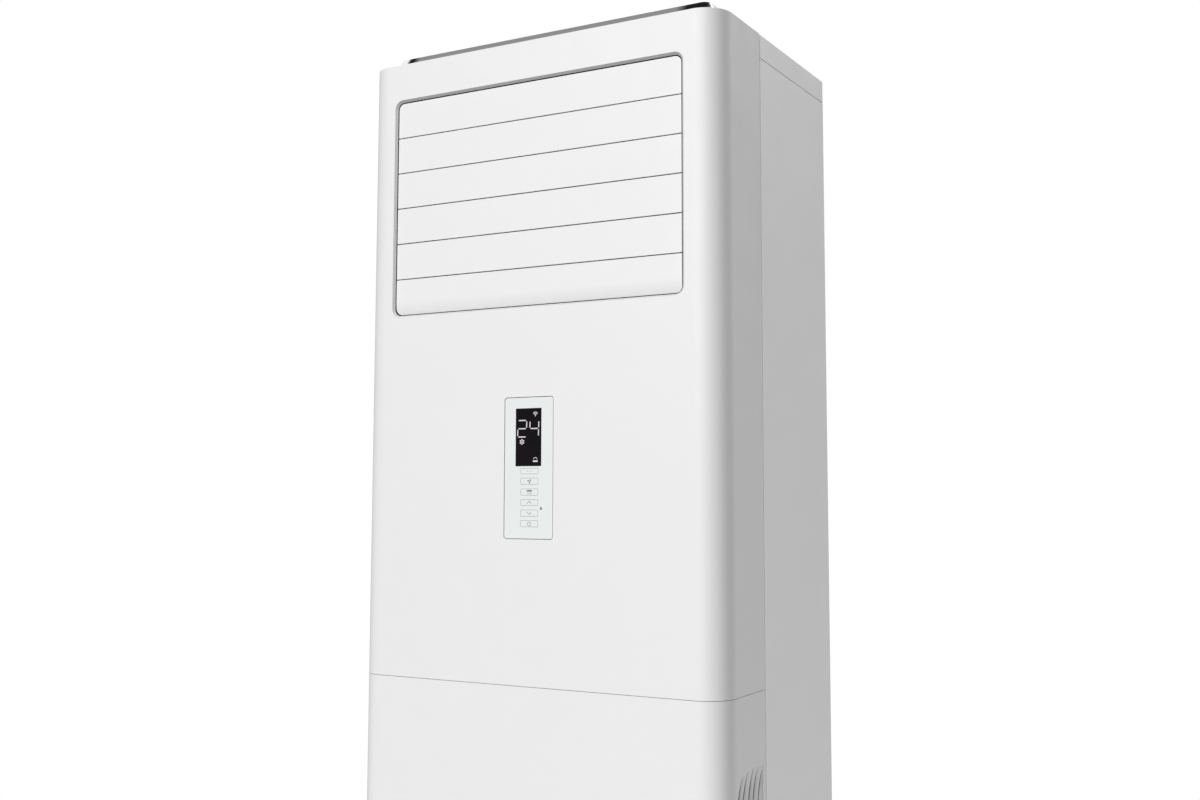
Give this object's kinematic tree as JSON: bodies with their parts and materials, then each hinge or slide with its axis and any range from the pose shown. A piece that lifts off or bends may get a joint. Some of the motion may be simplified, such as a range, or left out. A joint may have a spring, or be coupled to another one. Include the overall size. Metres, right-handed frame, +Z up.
{
  "type": "floor standing air conditioner",
  "caption": "Floor standing cabinet air conditioner with a closed louvred outlet, touch display, side intake slits, and its blower, coil, filters and electrics inside.",
  "frame": {"origin": "centre of the overall box at floor level", "axes": "+Z up, the front with the outlet and display faces -Y, +X is the viewer's right when facing the front"},
  "size_m": [0.5, 0.324, 1.7],
  "materials": {
    "panel_white": "fine semi-matt moulded ABS",
    "louvre_white": "fine semi-matt moulded ABS",
    "sheet_white": "white powder-coated sheet steel",
    "lid_gloss": "dark glossy plated plastic",
    "display_gloss": "glossy white acrylic with printed keys",
    "lcd_dark": "black display window with light segments",
    "inner_plastic": "plain moulded plastic",
    "galvanised": "galvanised sheet steel",
    "motor_metal": "grey painted motor can",
    "coil_aluminium": "bare aluminium fins",
    "pipe_copper": "drawn copper tube with brass nuts",
    "bright_steel": "zinc-plated steel",
    "rubber_black": "black rubber",
    "hose_plastic": "corrugated drain hose",
    "filter_net": "fine nylon net in a plastic frame",
    "circuit_board": "green circuit board with parts",
    "block_cream": "cream terminal block",
    "gland_black": "black nylon"
  },
  "bodies": {
    "cabinet": {"upper_front_panel": "panel_white", "right_side_panel": "sheet_white", "left_side_panel": "sheet_white", "back_panel": "sheet_white", "top_cover": "sheet_white", "top_trim": "lid_gloss", "base_pan": "sheet_white", "foot_front_left": "rubber_black", "foot_front_right": "rubber_black", "foot_rear_left": "rubber_black", "foot_rear_right": "rubber_black", "air_outlet_duct": "inner_plastic", "louvre_motor": "motor_metal", "vane_motor": "motor_metal", "evaporator_coil": "coil_aluminium", "coil_end_plate_right": "galvanised", "coil_end_plate_left": "galvanised", "drain_pan": "inner_plastic", "drain_hose": "hose_plastic", "gas_pipe": "pipe_copper", "liquid_pipe": "pipe_copper", "inner_partition": "galvanised", "fan_scroll": "inner_plastic", "fan_inlet_ring": "inner_plastic", "blower_motor": "motor_metal", "motor_bracket": "galvanised", "control_box": "galvanised", "control_box_cover": "galvanised", "control_board": "circuit_board", "terminal_block": "block_cream", "display_panel": "display_gloss", "lcd_window": "lcd_dark", "display_board": "circuit_board", "wall_bracket": "galvanised", "wall_bracket_screw_left": "bright_steel", "wall_bracket_screw_right": "bright_steel", "cable_gland": "gland_black"},
    "louvre_1": {"louvre_1": "louvre_white"},
    "louvre_2": {"louvre_2": "louvre_white"},
    "louvre_3": {"louvre_3": "louvre_white"},
    "louvre_4": {"louvre_4": "louvre_white"},
    "louvre_5": {"louvre_5": "louvre_white"},
    "louvre_6": {"louvre_6": "louvre_white"},
    "louvre_link": {"louvre_link_bar": "inner_plastic"},
    "vane_1": {"vane_1": "inner_plastic"},
    "vane_2": {"vane_2": "inner_plastic"},
    "vane_3": {"vane_3": "inner_plastic"},
    "vane_4": {"vane_4": "inner_plastic"},
    "vane_5": {"vane_5": "inner_plastic"},
    "vane_6": {"vane_6": "inner_plastic"},
    "vane_7": {"vane_7": "inner_plastic"},
    "vane_8": {"vane_8": "inner_plastic"},
    "vane_link": {"vane_link_bar": "inner_plastic"},
    "blower": {"blower_wheel": "inner_plastic", "blower_hub": "inner_plastic", "blower_shaft": "bright_steel", "shaft_nut": "bright_steel"},
    "lower_panel": {"lower_front_panel": "panel_white"},
    "filter_left": {"air_filter_left": "filter_net"},
    "filter_right": {"air_filter_right": "filter_net"}
  },
  "joints": [
    {"name": "louvre_1_swing", "type": "hinge", "parent": "cabinet", "child": "louvre_1", "pos_m": [0, -0.15, 1.609], "axis": [-1, 0, 0], "range_deg": [0, 90]},
    {"name": "louvre_2_swing", "type": "hinge", "parent": "cabinet", "child": "louvre_2", "pos_m": [0, -0.15, 1.5636], "axis": [-1, 0, 0], "range_deg": [0, 90]},
    {"name": "louvre_3_swing", "type": "hinge", "parent": "cabinet", "child": "louvre_3", "pos_m": [0, -0.15, 1.5182], "axis": [-1, 0, 0], "range_deg": [0, 90]},
    {"name": "louvre_4_swing", "type": "hinge", "parent": "cabinet", "child": "louvre_4", "pos_m": [0, -0.15, 1.4728], "axis": [-1, 0, 0], "range_deg": [0, 90]},
    {"name": "louvre_5_swing", "type": "hinge", "parent": "cabinet", "child": "louvre_5", "pos_m": [0, -0.15, 1.4274], "axis": [-1, 0, 0], "range_deg": [0, 90]},
    {"name": "louvre_6_swing", "type": "hinge", "parent": "cabinet", "child": "louvre_6", "pos_m": [0, -0.15, 1.382], "axis": [-1, 0, 0], "range_deg": [0, 90]},
    {"name": "louvre_link_pivot", "type": "hinge", "parent": "louvre_1", "child": "louvre_link", "pos_m": [-0.2035, -0.14151, 1.61749], "axis": [-1, 0, 0], "range_deg": [-90, 0]},
    {"name": "vane_1_swing", "type": "hinge", "parent": "cabinet", "child": "vane_1", "pos_m": [-0.175, -0.108, 1.49575], "axis": [0, 0, 1], "range_deg": [-35, 35]},
    {"name": "vane_2_swing", "type": "hinge", "parent": "cabinet", "child": "vane_2", "pos_m": [-0.125, -0.108, 1.49575], "axis": [0, 0, 1], "range_deg": [-35, 35]},
    {"name": "vane_3_swing", "type": "hinge", "parent": "cabinet", "child": "vane_3", "pos_m": [-0.075, -0.108, 1.49575], "axis": [0, 0, 1], "range_deg": [-35, 35]},
    {"name": "vane_4_swing", "type": "hinge", "parent": "cabinet", "child": "vane_4", "pos_m": [-0.025, -0.108, 1.49575], "axis": [0, 0, 1], "range_deg": [-35, 35]},
    {"name": "vane_5_swing", "type": "hinge", "parent": "cabinet", "child": "vane_5", "pos_m": [0.025, -0.108, 1.49575], "axis": [0, 0, 1], "range_deg": [-35, 35]},
    {"name": "vane_6_swing", "type": "hinge", "parent": "cabinet", "child": "vane_6", "pos_m": [0.075, -0.108, 1.49575], "axis": [0, 0, 1], "range_deg": [-35, 35]},
    {"name": "vane_7_swing", "type": "hinge", "parent": "cabinet", "child": "vane_7", "pos_m": [0.125, -0.108, 1.49575], "axis": [0, 0, 1], "range_deg": [-35, 35]},
    {"name": "vane_8_swing", "type": "hinge", "parent": "cabinet", "child": "vane_8", "pos_m": [0.175, -0.108, 1.49575], "axis": [0, 0, 1], "range_deg": [-35, 35]},
    {"name": "vane_link_pivot", "type": "hinge", "parent": "vane_1", "child": "vane_link", "pos_m": [-0.175, -0.092, 1.49575], "axis": [0, 0, 1], "range_deg": [-35, 35]},
    {"name": "blower_spin", "type": "hinge", "parent": "cabinet", "child": "blower", "pos_m": [-0.02, 0, 0.42], "axis": [0, 1, 0], "continuous": true},
    {"name": "lower_panel_pull", "type": "slide", "parent": "cabinet", "child": "lower_panel", "axis": [0, -1, 0], "range_m": [0, 0.12]},
    {"name": "filter_left_lift", "type": "slide", "parent": "lower_panel", "child": "filter_left", "axis": [0, 0, 1], "range_m": [0, 0.05]},
    {"name": "filter_right_lift", "type": "slide", "parent": "lower_panel", "child": "filter_right", "axis": [0, 0, 1], "range_m": [0, 0.05]}
  ],
  "couplings": [
    {"joint": "louvre_2_swing", "follows": "louvre_1_swing", "ratio": 1},
    {"joint": "louvre_3_swing", "follows": "louvre_1_swing", "ratio": 1},
    {"joint": "louvre_4_swing", "follows": "louvre_1_swing", "ratio": 1},
    {"joint": "louvre_5_swing", "follows": "louvre_1_swing", "ratio": 1},
    {"joint": "louvre_6_swing", "follows": "louvre_1_swing", "ratio": 1},
    {"joint": "louvre_link_pivot", "follows": "louvre_1_swing", "ratio": -1},
    {"joint": "vane_2_swing", "follows": "vane_1_swing", "ratio": 1},
    {"joint": "vane_3_swing", "follows": "vane_1_swing", "ratio": 1},
    {"joint": "vane_4_swing", "follows": "vane_1_swing", "ratio": 1},
    {"joint": "vane_5_swing", "follows": "vane_1_swing", "ratio": 1},
    {"joint": "vane_6_swing", "follows": "vane_1_swing", "ratio": 1},
    {"joint": "vane_7_swing", "follows": "vane_1_swing", "ratio": 1},
    {"joint": "vane_8_swing", "follows": "vane_1_swing", "ratio": 1},
    {"joint": "vane_link_pivot", "follows": "vane_1_swing", "ratio": -1}
  ]
}
